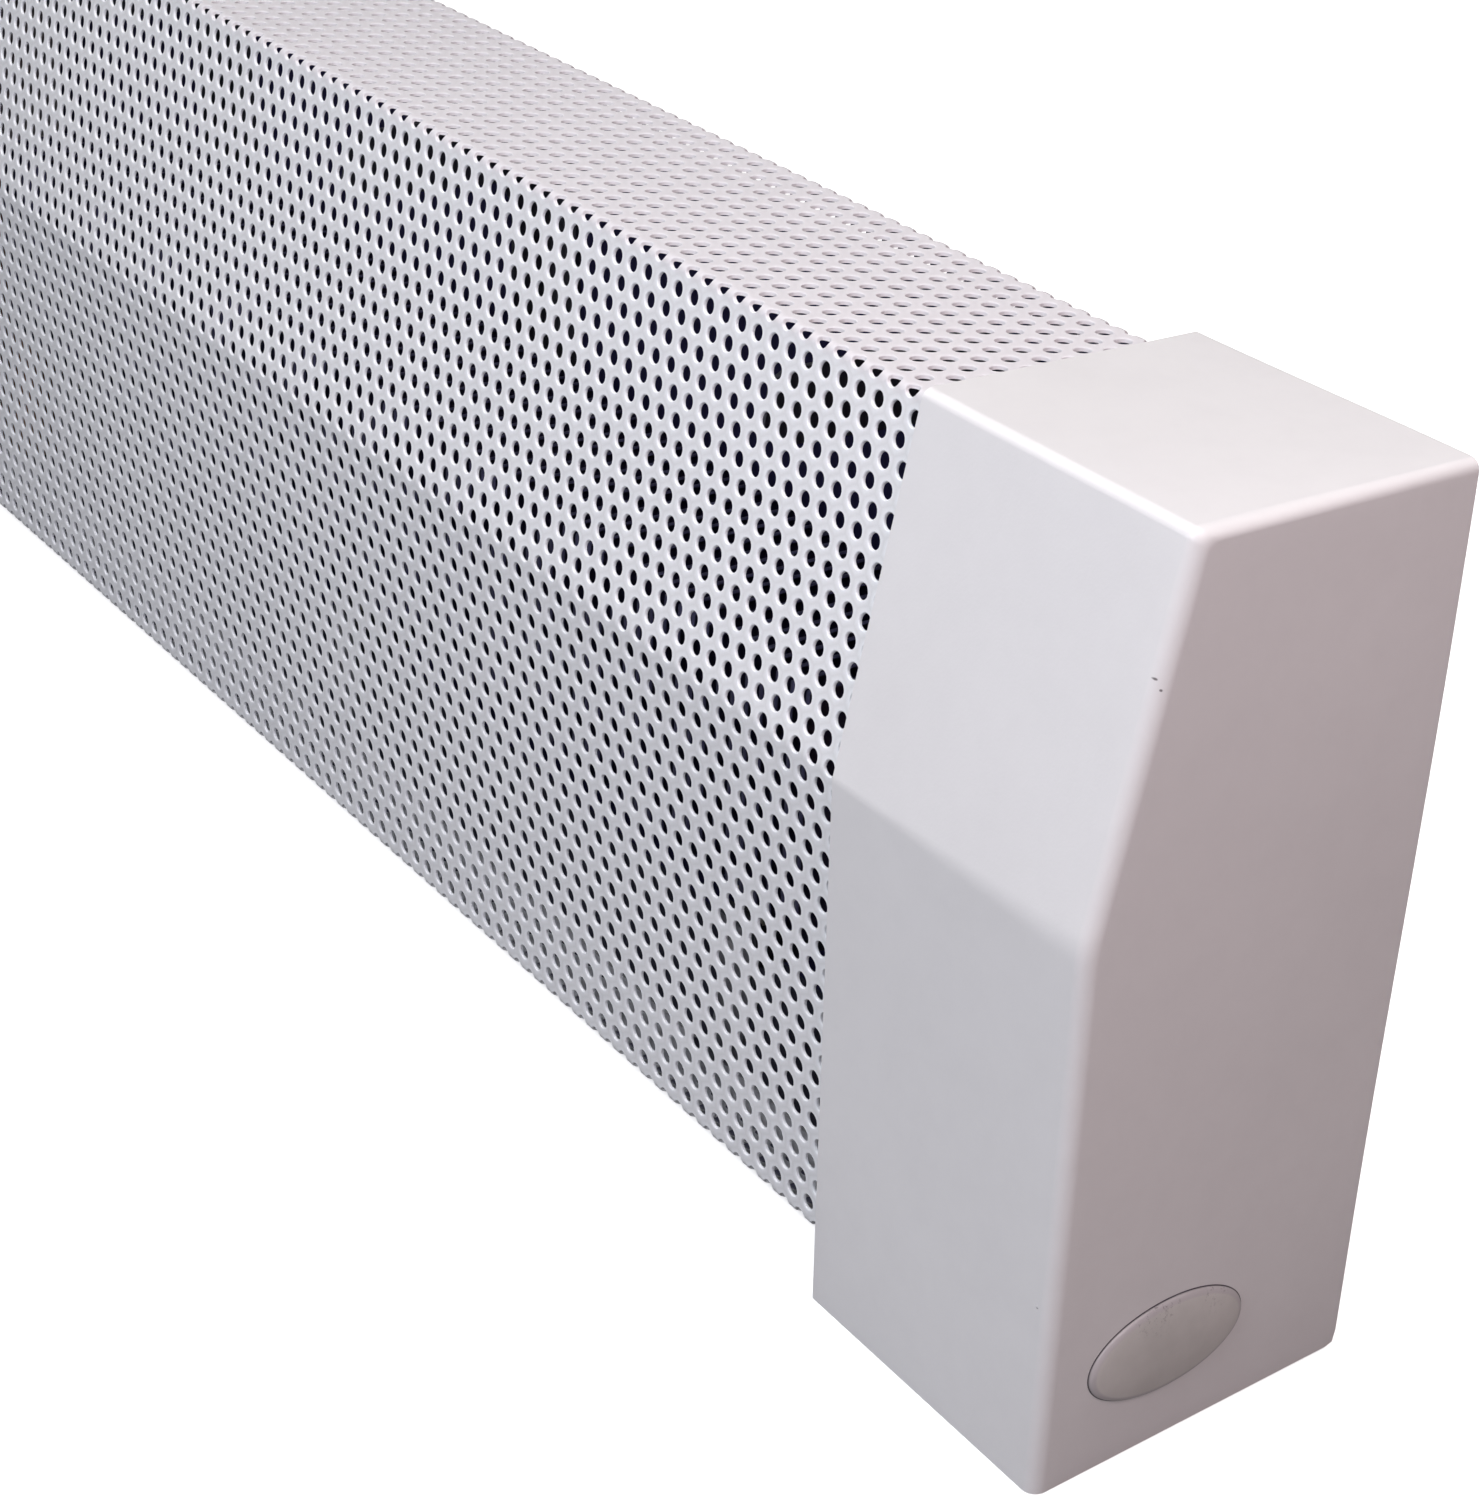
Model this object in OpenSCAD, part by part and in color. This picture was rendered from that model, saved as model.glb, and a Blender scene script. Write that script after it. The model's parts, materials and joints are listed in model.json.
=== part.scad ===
// Baseboard heater with a slip-on front cover
// A finned copper element on a wall plate, behind a folded sheet cover closed by two end caps.
// X runs along the wall, the wall is the plane y = 0 with the heater at negative y,
// and Z is up from the floor. The origin is the middle of the wall plate's bottom edge.

/* [Front cover] */
// Length of the folded front panel
panel_len = 609.6; // [600:2:900]
// Height of the end caps, from the floor to the top
height = 214.5; // [212:0.5:240]
// Depth of the end caps, from the wall to the front
depth = 89; // [86:0.5:100]
// Height of the bend between the upright front and the sloping front
bend_height = 132; // [124:1:150]
// Angle of the sloping front from upright
slope_deg = 12.8; // [8:0.1:14]
// Sheet thickness of the front panel
panel_sheet = 1.0; // [0.8:0.1:1.2]
// Height of the panel's bottom edge above the floor
panel_lift = 16.6; // [14:0.2:18]
// Depth of the inward flange along the panel's bottom
bottom_flange = 17.8; // [14:0.2:18]
// Distance from the wall to the panel's rear hook
hook_gap = 8.0; // [7.6:0.1:10]
// Length of the rear hook that hangs on the wall plate
hook_drop = 12.1; // [10:0.1:12.2]

/* [End caps] */
// Length of each end cap
cap_len = 82.5; // [70:0.5:110]
// How far each cap sleeves over the panel
cap_over = 38; // [20:1:50]
// Wall thickness of the moulded caps
cap_sheet = 1.2; // [1:0.1:1.2]
// Clearance between cap and panel
cap_gap = 0.2; // [0.2:0.1:0.5]

/* [Badge] */
// Width of the plain oval badge
badge_w = 44; // [20:1:46]
// Height of the badge
badge_h = 24; // [12:1:26]
// Height of the badge's dome above the cap
badge_dome = 2.2; // [1:0.1:4]

/* [Wall plate] */
// Length of the wall plate at its foot
plate_len = 685; // [598:1:685]
// How far each end of the wall plate leans out at the top
plate_lean = 4.5; // [0:0.1:4.5]
// Sheet thickness of the wall plate
plate_sheet = 1.0; // [0.8:0.1:1]
// Radius of the wall screw holes
wall_hole_r = 2.6; // [2:0.1:3]

/* [Element] */
// Outer radius of the copper tube
tube_r = 11.1; // [11.1:0.1:11.1]
// Wall of the copper tube
tube_wall = 0.9; // [0.7:0.1:1.2]
// Number of fins
fin_count = 80; // [20:2:80]
// Distance between fins
fin_pitch = 5.8; // [4:0.1:5.8]
// Depth of a fin
fin_w = 57; // [40:1:57]
// Height of a fin
fin_h = 64; // [40:1:64]
// Thickness of a fin
fin_sheet = 0.4; // [0.3:0.1:0.6]

/* [Hidden] */
$fn = 48;

bend_steps = 6;  // facets in each sheet bend
cut = 1;         // how far a cut runs past the surface

// cover
half_len = panel_len / 2 - cap_over + cap_len;   // from mid-length to a cap's outer face
skin = cap_sheet + cap_gap;                      // from a cap's outer face in to the panel
panel_top = height - skin;
panel_front = -depth + skin;
panel_lip = 4;                                   // upturn behind the bottom flange
hook_z = panel_top - hook_drop;
ledge_z = hook_z - 1.2;                          // the wall plate's ledge, just below the hook
badge_y = -54.6;
badge_z = 25.9;

// brackets, clips and rivets
bracket_x = 200;
bracket_xs = [-bracket_x, 0, bracket_x];
bracket_sheet = 1.5;
bracket_flange = 18;             // the flange on the wall plate, from the web's middle
bracket_bottom = 42;
bracket_top = 195;
tab_y = -66;                     // front face of a bracket's front tab
clip_sheet = 0.8;
clip_rivet_z = 50;
rivet_r = 1.6;
rivet_dx = bracket_flange / 2;
rivet_zs = [52, 182];

// element; elbow places are for the right end
tube_y = -42;
tube_z = 100;
tube_half = 262;
bore_r = tube_r - tube_wall;
pipe_stop = 4;                   // from a pipe's end to the start of the elbow's turn
elbow_x = tube_half + pipe_stop; // where the turn starts
elbow_turn = 22;                 // centreline radius of the turn
elbow_wall_r = 12.3;
turn_z = tube_z - elbow_turn;    // where the turn ends
riser_x = elbow_x + elbow_turn;

// air vent; heights are from the tube's axis
vent_x = elbow_x + 2;
vent_hole_r = 3.5;
boss_top = 20;
washer_sheet = 0.8;

// colours
cap_colour = [0.87, 0.86, 0.87];
bracket_colour = [0.66, 0.67, 0.69];
clip_colour = [0.60, 0.61, 0.64];
glide_colour = [0.88, 0.87, 0.82];
rivet_colour = [0.72, 0.72, 0.74];
elbow_colour = [0.74, 0.45, 0.29];
riser_colour = [0.73, 0.44, 0.28];

// ---- folded sheet ----
// A sheet's section is a path of [y, z, bend radius]; the sheet lies on the path's left side.
function unit(v) = v / norm(v);
function left_of(v) = [-v[1], v[0]];
function leg_dir(path, i) =
    unit([path[i + 1][0] - path[i][0], path[i + 1][1] - path[i][1]]);
// 1 for a left bend, -1 for a right bend
function bend_sign(path, i) = sign(cross(leg_dir(path, i - 1), leg_dir(path, i)));
function wrap_angle(a) = (a + 540) % 360 - 180;

// path point i, moved so that both its legs shift left by dist
function shifted(path, i, dist) =
    let (point = [path[i][0], path[i][1]])
    i == 0 ? point + dist * left_of(leg_dir(path, 0)) :
    i == len(path) - 1 ? point + dist * left_of(leg_dir(path, i - 1)) :
    let (before = left_of(leg_dir(path, i - 1)),
         after = left_of(leg_dir(path, i)))
    point + dist * (before + after) / (1 + before * after);

// arc points that round the corner between two neighbours; a tiny radius leaves it sharp
function rounded(before, corner, after, radius) =
    let (back = unit(before - corner),
         ahead = unit(after - corner),
         half = acos(back * ahead) / 2)
    radius < 0.02 ? [corner] :
    let (start = corner + back * radius / tan(half),
         end = corner + ahead * radius / tan(half),
         centre = corner + unit(back + ahead) * radius / sin(half),
         start_deg = atan2(start[1] - centre[1], start[0] - centre[0]),
         end_deg = atan2(end[1] - centre[1], end[0] - centre[0]),
         sweep = wrap_angle(end_deg - start_deg))
    [for (k = [0 : bend_steps])
        let (a = start_deg + sweep * k / bend_steps)
        centre + radius * [cos(a), sin(a)]];

// one face of the sheet: the path shifted left by dist, with its bends rounded
function face(path, dist) =
    [for (i = [0 : len(path) - 1])
        each (i == 0 || i == len(path) - 1)
            ? [shifted(path, i, dist)]
            : rounded(shifted(path, i - 1, dist), shifted(path, i, dist),
                      shifted(path, i + 1, dist), path[i][2] - bend_sign(path, i) * dist)];
function reversed(list) = [for (i = [len(list) - 1 : -1 : 0]) list[i]];

// ---- shared shapes ----
// extrude a [y, z] outline along X, centred
module along_x(length) {
    rotate([90, 0, 90]) linear_extrude(height = length, center = true) children();
}
module fold(path, sheet, length) {
    along_x(length) polygon(concat(face(path, 0), reversed(face(path, sheet))));
}
// extrude an [x, z] outline along Y, centred
module along_y(length) {
    rotate([90, 0, 0]) linear_extrude(height = length, center = true) children();
}
// cylinder from a point forward, towards -y
module forward_rod(start, r, h) {
    translate(start) rotate([90, 0, 0]) cylinder(r = r, h = h);
}
module mirrored() {
    mirror([1, 0, 0]) children();
}

// ---- front cover ----
// the sloping front, moved inwards by inset: its y at height z, and the height of its bend
function slope_y(inset, z) = -depth + inset * cos(slope_deg)
    + (z - bend_height + inset * sin(slope_deg)) * tan(slope_deg);
function bend_z(inset) = bend_height - inset * tan(slope_deg / 2);

panel_path = [[-hook_gap, hook_z, 0],
              [-hook_gap, panel_top, 1.8],
              [slope_y(skin, panel_top), panel_top, 1.8],
              [panel_front, bend_z(skin), 2.6],
              [panel_front, panel_lift, 1.8],
              [panel_front + bottom_flange, panel_lift, 1.6],
              [panel_front + bottom_flange, panel_lift + panel_lip, 0]];
cap_path = [[0, height, 0],
            [slope_y(0, height), height, 2.4],
            [-depth, bend_height, 3.2],
            [-depth, 0, 0]];

module cover_panel() {
    color([0.86, 0.86, 0.87]) fold(panel_path, panel_sheet, panel_len);
}

// right-hand cap: a folded skirt and a closed end
module cap() {
    skirt = cap_len - cap_sheet;
    translate([half_len - cap_len + skirt / 2, 0, 0]) fold(cap_path, cap_sheet, skirt);
    translate([half_len - cap_sheet / 2, 0, 0])
        along_x(cap_sheet) polygon(concat(face(cap_path, 0), [[0, 0]]));
}
module right_end_cap() { color(cap_colour) cap(); }
module left_end_cap() { color(cap_colour) mirrored() cap(); }

// a blank oval dome on a low rim, low on the right cap's end
module badge() {
    radius = badge_w / 2;
    rim = 0.5;
    dome_z = 0.6;
    dome_r = radius - 0.4;
    dome = [for (k = [1 : 5]) [dome_r * cos(k * 15), dome_z + (badge_dome - dome_z) * sin(k * 15)]];
    color([0.68, 0.68, 0.70])
        translate([half_len, badge_y, badge_z])
            rotate([90, 0, 90])
                scale([1, badge_h / badge_w, 1])
                    rotate_extrude($fn = 40)
                        polygon(concat([[0, 0], [radius, 0], [radius, rim]],
                                       dome, [[0, badge_dome]]));
}

// ---- wall plate ----
// foot, upright, ledge under the panel's hook, and a rising front edge
plate_path = [[-12, 0, 0],
              [0, 0, 0],
              [0, ledge_z, 1.6],
              [-hook_gap + 0.2, ledge_z, 1.2],
              [-hook_gap - 8.8, ledge_z + 4.2, 0]];

module plate_hole(x, z, r) {
    forward_rod([x, cut, z], r = r, h = plate_sheet + 2 * cut);
}
module back_panel() {
    foot_x = plate_len / 2;
    top_x = foot_x + plate_lean;
    color([0.28, 0.28, 0.30]) difference() {
        intersection() {
            fold(plate_path, plate_sheet, plate_len + 2 * plate_lean);
            along_y(80)
                polygon([[-foot_x, -cut], [foot_x, -cut], [top_x, height], [-top_x, height]]);
        }
        for (x = [-240, 240], z = [45, 175])
            plate_hole(x, z, wall_hole_r);
        for (x = bracket_xs, z = rivet_zs)
            plate_hole(x + rivet_dx, z, rivet_r);
    }
}

// ---- brackets ----
// C-shaped web as [y, z]: lower arm under the fins, spine behind them, upper arm
bracket_web = [[-plate_sheet, bracket_bottom], [-58, bracket_bottom], [tab_y, 47], [tab_y, 61],
               [-64, 63], [-15, 63], [-12, 68], [-12, 168], [-16, 175], [-58, 177],
               [-64, 182], [-62, 193], [-58, bracket_top], [-plate_sheet, bracket_top]];

module clip_hole(length) {
    forward_rod([0, tab_y + 6, clip_rivet_z], r = rivet_r, h = length);
}
// web with a flange on the wall plate and a tab at the front
module bracket() {
    tab_w = 16;
    difference() {
        union() {
            along_x(bracket_sheet) polygon(bracket_web);
            translate([-bracket_sheet / 2, -plate_sheet - bracket_sheet, bracket_bottom])
                cube([bracket_flange + bracket_sheet / 2, bracket_sheet,
                      bracket_top - bracket_bottom]);
            translate([-tab_w / 2, tab_y, 34]) cube([tab_w, bracket_sheet, 26]);
        }
        for (z = rivet_zs)
            forward_rod([rivet_dx, 0, z], r = rivet_r, h = 4);
        clip_hole(8);
    }
}
module bracket_left() { color(bracket_colour) translate([-bracket_x, 0, 0]) bracket(); }
module bracket_centre() { color(bracket_colour) bracket(); }
module bracket_right() { color(bracket_colour) translate([bracket_x, 0, 0]) bracket(); }

// spring finger that keeps the panel's bottom flange down
clip_path = [[tab_y - clip_sheet, 57, 0],
             [tab_y - clip_sheet, 32, 1.2],
             [-69.4, 21.9, 1.0],
             [-77, 25.5, 1.4],
             [-80.5, 29.2, 0]];
clip_w = 13;

module clip() {
    difference() {
        fold(clip_path, clip_sheet, clip_w);
        clip_hole(10);
    }
}
module clip_left() { color(clip_colour) translate([-bracket_x, 0, 0]) clip(); }
module clip_centre() { color(clip_colour) clip(); }
module clip_right() { color(clip_colour) translate([bracket_x, 0, 0]) clip(); }

// plastic shoe on the lower arm, under the fins, as [x, z]
glide_section = [[-6, 58], [6, 58], [6, 65], [3.5, 67.8], [-3.5, 67.8], [-6, 65]];
glide_y = -40;
glide_len = 46;
glide_slot = 1.6;

module glide() {
    translate([0, glide_y, 0]) along_y(glide_len) difference() {
        polygon(glide_section);
        translate([-glide_slot / 2, 57]) square([glide_slot, 6]);
    }
}
module glide_left() { color(glide_colour) translate([-bracket_x, 0, 0]) glide(); }
module glide_centre() { color(glide_colour) glide(); }
module glide_right() { color(glide_colour) translate([bracket_x, 0, 0]) glide(); }

// rivet along -y: shank from back_y to front_y, head standing at front_y
module rivet(back_y, front_y) {
    forward_rod([0, back_y, 0], r = rivet_r, h = back_y - front_y);
    translate([0, front_y, 0]) rotate([90, 0, 0]) cylinder(r1 = 3.2, r2 = 2.2, h = 1.1);
}
module bracket_rivets() {
    color(rivet_colour)
        for (x = bracket_xs, z = rivet_zs)
            translate([x + rivet_dx, 0, z]) rivet(0, -plate_sheet - bracket_sheet);
}
module clip_rivets() {
    color(rivet_colour)
        for (x = bracket_xs)
            translate([x, 0, clip_rivet_z]) rivet(tab_y + bracket_sheet, tab_y - clip_sheet);
}

// ---- element ----
module element_tube() {
    length = 2 * tube_half;
    color([0.72, 0.43, 0.28])
        translate([0, tube_y, tube_z]) rotate([0, 90, 0]) difference() {
            cylinder(r = tube_r, h = length, center = true);
            cylinder(r = bore_r, h = length + 2 * cut, center = true);
        }
}

// a plate with a collar around the tube on its +x side
module fin() {
    collar_wall = 0.5;
    collar_len = 2.2;
    difference() {
        union() {
            cube([fin_sheet, fin_w, fin_h], center = true);
            translate([collar_len / 2, 0, 0]) rotate([0, 90, 0])
                cylinder(r = tube_r + collar_wall, h = collar_len, center = true);
        }
        rotate([0, 90, 0]) cylinder(r = tube_r, h = 12, center = true);
    }
}
module fins() {
    color([0.80, 0.81, 0.83])
        for (i = [0 : fin_count - 1])
            translate([(i - (fin_count - 1) / 2) * fin_pitch, tube_y, tube_z]) fin();
}

// solid quarter turn from the tube down to the riser, with a straight leg at each end
module quarter_turn(r, tube_leg, riser_leg) {
    translate([elbow_x - tube_leg, 0, tube_z]) rotate([0, 90, 0]) cylinder(r = r, h = tube_leg);
    translate([elbow_x, 0, turn_z]) rotate([90, 0, 0])
        rotate_extrude(angle = 90) translate([elbow_turn, 0]) circle(r = r);
    translate([riser_x, 0, turn_z - riser_leg]) cylinder(r = r, h = riser_leg);
}
// right-hand elbow with a socket at each end, and a boss for the air vent if has_boss
module elbow(has_boss) {
    tube_leg = 18;
    riser_leg = 16;
    bore_leg = 6;
    translate([0, tube_y, 0]) difference() {
        union() {
            quarter_turn(elbow_wall_r, tube_leg, riser_leg);
            if (has_boss) translate([vent_x, 0, tube_z]) cylinder(r = 6.2, h = boss_top);
        }
        quarter_turn(bore_r, bore_leg, bore_leg);
        // sockets
        translate([elbow_x - tube_leg - cut, 0, tube_z]) rotate([0, 90, 0])
            cylinder(r = tube_r, h = tube_leg + cut - pipe_stop);
        translate([riser_x, 0, turn_z - riser_leg - cut])
            cylinder(r = tube_r, h = riser_leg + cut - pipe_stop);
        if (has_boss) translate([vent_x, 0, tube_z]) cylinder(r = vent_hole_r, h = boss_top + cut);
    }
}
module elbow_right() { color(elbow_colour) elbow(true); }
module elbow_left() { color(elbow_colour) mirrored() elbow(false); }

// right-hand drop pipe with a belled end that takes the house pipe
module riser() {
    bell_z = 2;
    bell_len = 18;
    pipe_z = bell_z + bell_len;
    translate([riser_x, tube_y, 0]) difference() {
        union() {
            translate([0, 0, pipe_z]) cylinder(r = tube_r, h = turn_z - pipe_stop - pipe_z);
            translate([0, 0, bell_z]) cylinder(r = elbow_wall_r, h = bell_len);
        }
        translate([0, 0, bell_z - cut]) cylinder(r = tube_r + 0.05, h = 17);
        translate([0, 0, 10]) cylinder(r = bore_r, h = 70);
    }
}
module riser_right() { color(riser_colour) riser(); }
module riser_left() { color(riser_colour) mirrored() riser(); }

// ---- air vent ----
module at_vent(z = 0) {
    translate([vent_x, tube_y, tube_z + z]) children();
}
// shank in the boss, hexagon on the washer, round neck above
module vent_body() {
    color([0.80, 0.66, 0.36]) at_vent() difference() {
        union() {
            translate([0, 0, 12.5]) cylinder(r = 3.45, h = 10);
            translate([0, 0, boss_top + washer_sheet]) cylinder(r = 6, h = 4.4, $fn = 6);
            translate([0, 0, 25]) cylinder(r = 4, h = 3.4);
        }
        translate([0, 0, 11]) cylinder(r = 2.05, h = 20);
    }
}
module vent_washer() {
    color([0.16, 0.16, 0.17]) at_vent(boss_top) difference() {
        cylinder(r = 5.8, h = washer_sheet);
        translate([0, 0, -cut]) cylinder(r = vent_hole_r, h = 3);
    }
}
// thumbscrew with a slotted, grooved head
module vent_screw() {
    slot_w = 1.2;
    grooves = 12;
    color([0.82, 0.68, 0.38]) at_vent() difference() {
        union() {
            translate([0, 0, 16]) cylinder(r = 2, h = 13);
            translate([0, 0, 28.8]) cylinder(r = 5, h = 3.4);
        }
        translate([-6, -slot_w / 2, 31]) cube([12, slot_w, 2]);
        for (k = [0 : grooves - 1])
            rotate(k * 360 / grooves) translate([5.1, 0, 28]) cylinder(r = 0.5, h = 5, $fn = 16);
    }
}

cover_panel();
right_end_cap();
left_end_cap();
badge();
back_panel();
bracket_left();
bracket_centre();
bracket_right();
clip_left();
clip_centre();
clip_right();
glide_left();
glide_centre();
glide_right();
bracket_rivets();
clip_rivets();
element_tube();
fins();
elbow_left();
elbow_right();
riser_left();
riser_right();
vent_body();
vent_washer();
vent_screw();
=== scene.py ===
import json
import math

import bpy
import bmesh
import numpy as np
from mathutils import Euler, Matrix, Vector


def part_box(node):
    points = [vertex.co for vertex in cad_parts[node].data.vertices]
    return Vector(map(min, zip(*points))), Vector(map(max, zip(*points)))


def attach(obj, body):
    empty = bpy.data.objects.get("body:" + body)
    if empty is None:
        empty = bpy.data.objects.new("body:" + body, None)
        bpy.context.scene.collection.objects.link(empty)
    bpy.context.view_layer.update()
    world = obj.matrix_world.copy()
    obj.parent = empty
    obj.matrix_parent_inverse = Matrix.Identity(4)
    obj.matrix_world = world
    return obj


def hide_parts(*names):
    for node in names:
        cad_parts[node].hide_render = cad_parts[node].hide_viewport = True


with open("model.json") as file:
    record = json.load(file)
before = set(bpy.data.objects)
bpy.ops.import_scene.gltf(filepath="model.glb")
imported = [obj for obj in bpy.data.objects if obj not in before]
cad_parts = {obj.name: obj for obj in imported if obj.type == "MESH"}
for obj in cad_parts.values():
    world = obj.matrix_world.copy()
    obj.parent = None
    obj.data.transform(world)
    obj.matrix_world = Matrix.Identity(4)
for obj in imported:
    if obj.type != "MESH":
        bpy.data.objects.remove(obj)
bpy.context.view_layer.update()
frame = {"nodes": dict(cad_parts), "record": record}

MM = 0.001
TAU = 2 * math.pi


# --------------------------------------------------------------------------- #
# driving sizes (mm), mostly read from the CAD pieces
# --------------------------------------------------------------------------- #
def box_mm(node):
    low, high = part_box(node)
    return np.array(low) * 1000.0, np.array(high) * 1000.0


cap_lo, cap_hi = box_mm("right_end_cap")
panel_lo, panel_hi = box_mm("cover_panel")
HEIGHT = cap_hi[2]
DEPTH = -cap_lo[1]
X_IN, X_OUT = cap_lo[0], cap_hi[0]  # the right cap's mouth and flat end
BEND_Z = 132.0                      # the upright front leans back above this height
SLOPE = math.radians(12.8)          # how far it leans from upright
SKIN = HEIGHT - panel_hi[2]         # the panel lies this far inside the cap's outer face


def slope_y(inset, z):
    """Y of the leaning face, this far inside the outer face, at height z."""
    return (-DEPTH + inset * math.cos(SLOPE)
            + (z - BEND_Z + inset * math.sin(SLOPE)) * math.tan(SLOPE))


def bend_z(inset):
    """Height of the corner where the upright front meets the leaning face."""
    return BEND_Z - inset * math.tan(SLOPE / 2)


def smoothstep(t):
    t = np.clip(t, 0, 1)
    return t * t * (3 - 2 * t)


def lerp(low, high, t):
    return low * (1 - t) + high * t


# --------------------------------------------------------------------------- #
# folded paths of (y, z, bend radius); every bend turns left
# --------------------------------------------------------------------------- #
def folded(path):
    """Each straight run as (start, end, direction, bend after it).

    A bend is (centre, radius, start angle, turn), or None after the last run.
    """
    points = [np.array(station[:2], float) for station in path]
    start = points[0]
    ahead = (points[1] - start) / np.linalg.norm(points[1] - start)
    for i in range(1, len(points) - 1):
        corner, radius = points[i], path[i][2]
        after = (points[i + 1] - corner) / np.linalg.norm(points[i + 1] - corner)
        turn = math.acos(float(np.clip(ahead @ after, -1, 1)))
        cut = radius * math.tan(turn / 2)
        end = corner - ahead * cut
        centre = end + np.array([-ahead[1], ahead[0]]) * radius
        angle = math.atan2(end[1] - centre[1], end[0] - centre[0])
        yield start, end, ahead, (centre, radius, angle, turn)
        start, ahead = corner + after * cut, after
    yield start, points[-1], ahead, None


class Profile:
    """A folded sheet walked by distance along its outside; the sheet lies left of the path."""

    def __init__(self, path):
        self.parts = []     # (start distance, end distance, run, bend), one of the last two None
        self.bends = []     # (start distance, end distance)
        self.length = 0.0
        for start, end, ahead, bend in folded(path):
            self.add(float(np.linalg.norm(end - start)), (start, ahead), None)
            if bend:
                self.add(bend[1] * bend[3], None, bend)
                self.bends.append(self.parts[-1][:2])

    def add(self, length, run, bend):
        self.parts.append((self.length, self.length + length, run, bend))
        self.length += length

    def at(self, along, depth):
        """(y, z), outward normal and tangent at a distance along and a depth below the outside."""
        place, normal, tangent = (np.zeros(along.shape + (2,)) for _ in range(3))
        for begin, finish, run, bend in self.parts:
            here = (along >= begin) & ((along < finish) | (finish == self.length))
            walked, deep = along[here] - begin, depth[here]
            if run:
                start, ahead = run
                out = np.array([ahead[1], -ahead[0]])
                place[here] = start + ahead * walked[:, None] - out * deep[:, None]
                tangent[here] = ahead
            else:
                centre, radius, angle, _ = bend
                angle = angle + walked / radius
                out = np.stack([np.cos(angle), np.sin(angle)], -1)
                place[here] = centre + out * (radius - deep)[:, None]
                tangent[here] = np.stack([-np.sin(angle), np.cos(angle)], -1)
            normal[here] = out
        return place, normal, tangent


def profile_points(path, counts):
    """Points along a folded path; counts gives the steps of run, bend, run, bend, run."""
    counts = iter(counts)
    points = []
    for start, end, _, bend in folded(path):
        steps = next(counts)
        points += [start + (end - start) * t / steps for t in range(steps)]
        if bend:
            centre, radius, angle, turn = bend
            steps = next(counts)
            angles = [angle + turn * t / steps for t in range(steps)]
            points += [centre + radius * np.array([math.cos(a), math.sin(a)]) for a in angles]
    return np.array(points + [end])


# --------------------------------------------------------------------------- #
# materials
# --------------------------------------------------------------------------- #
def scaled(colour, factor):
    return tuple(min(1.0, factor * c) for c in colour)


class Mat:
    """A Principled material built up layer by layer. Texture scales are per metre."""

    def __init__(self, name):
        self.material = bpy.data.materials.new(name)
        self.material.use_nodes = True
        self.tree = self.material.node_tree
        self.tree.nodes.clear()
        output = self.node("OutputMaterial")
        self.shader = self.node("BsdfPrincipled")
        self.feed(output.inputs["Surface"], self.shader.outputs["BSDF"])
        self.place = self.node("TexCoord").outputs["Object"]
        self.normal = None

    def feed(self, socket, value):
        """Links a socket, or sets a plain value; colours are given without alpha."""
        if isinstance(value, bpy.types.NodeSocket):
            self.tree.links.new(value, socket)
        else:
            socket.default_value = (*value, 1.0) if socket.type == "RGBA" else value

    def node(self, kind, inputs=None, **settings):
        new = self.tree.nodes.new("ShaderNode" + kind)
        for name, value in settings.items():
            setattr(new, name, value)
        for key, value in (inputs or {}).items():
            self.feed(new.inputs[key], value)
        return new

    def put(self, name, value):
        """Feeds an input of the Principled shader."""
        self.feed(self.shader.inputs[name], value)

    def noise(self, scale, detail=2.0, rough=0.5, vector=None):
        return self.node("TexNoise", {"Scale": scale, "Detail": detail, "Roughness": rough,
                                      "Vector": vector or self.place}).outputs["Fac"]

    def stretched(self, scale):
        return self.node("Mapping", {"Scale": scale, "Vector": self.place}).outputs["Vector"]

    def axes(self):
        return self.node("SeparateXYZ", {0: self.place}).outputs

    def attribute(self, name):
        return self.node("Attribute", attribute_name=name).outputs["Fac"]

    def ramp(self, amount, low, high, ends=(0.3, 0.7)):
        """Colour from low to high as the amount runs between the ends."""
        new = self.node("ValToRGB", {"Fac": amount})
        for stop, position, colour in zip(new.color_ramp.elements, ends, (low, high)):
            stop.position = position
            stop.color = (*colour, 1.0)
        return new.outputs["Color"]

    def span(self, value, ends, to=(0.0, 1.0), smooth=False):
        """Maps the range between the ends onto another, clamped."""
        return self.node("MapRange", {"From Min": ends[0], "From Max": ends[1],
                                      "To Min": to[0], "To Max": to[1], "Value": value},
                         interpolation_type="SMOOTHSTEP" if smooth else "LINEAR",
                         ).outputs["Result"]

    def edges(self, ends, most=1.0):
        """Up to `most` on convex edges; the ends are pointiness values."""
        pointiness = self.node("NewGeometry").outputs["Pointiness"]
        return self.span(pointiness, ends, to=(0.0, most), smooth=True)

    def math(self, operation, *values):
        return self.node("Math", dict(enumerate(values)), operation=operation).outputs[0]

    def times(self, first, second):
        return self.math("MULTIPLY", first, second)

    def mix(self, share, first, second):
        return self.node("Mix", {0: share, 6: first, 7: second}, data_type="RGBA").outputs[2]

    def colour(self, base):
        self.base = base
        self.put("Base Color", base)

    def paint(self, where, colour, amount=None):
        """Lays a colour over the base colour where the mask says."""
        if amount is not None:
            where = self.times(where, amount)
        self.colour(self.mix(where, self.base, colour))

    def bump(self, height, strength, distance):
        """Adds relief on top of any earlier relief; the distance is in metres."""
        new = self.node("Bump", {"Strength": strength, "Distance": distance, "Height": height})
        if self.normal:
            self.feed(new.inputs["Normal"], self.normal)
        self.normal = new.outputs["Normal"]
        self.put("Normal", self.normal)


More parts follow.
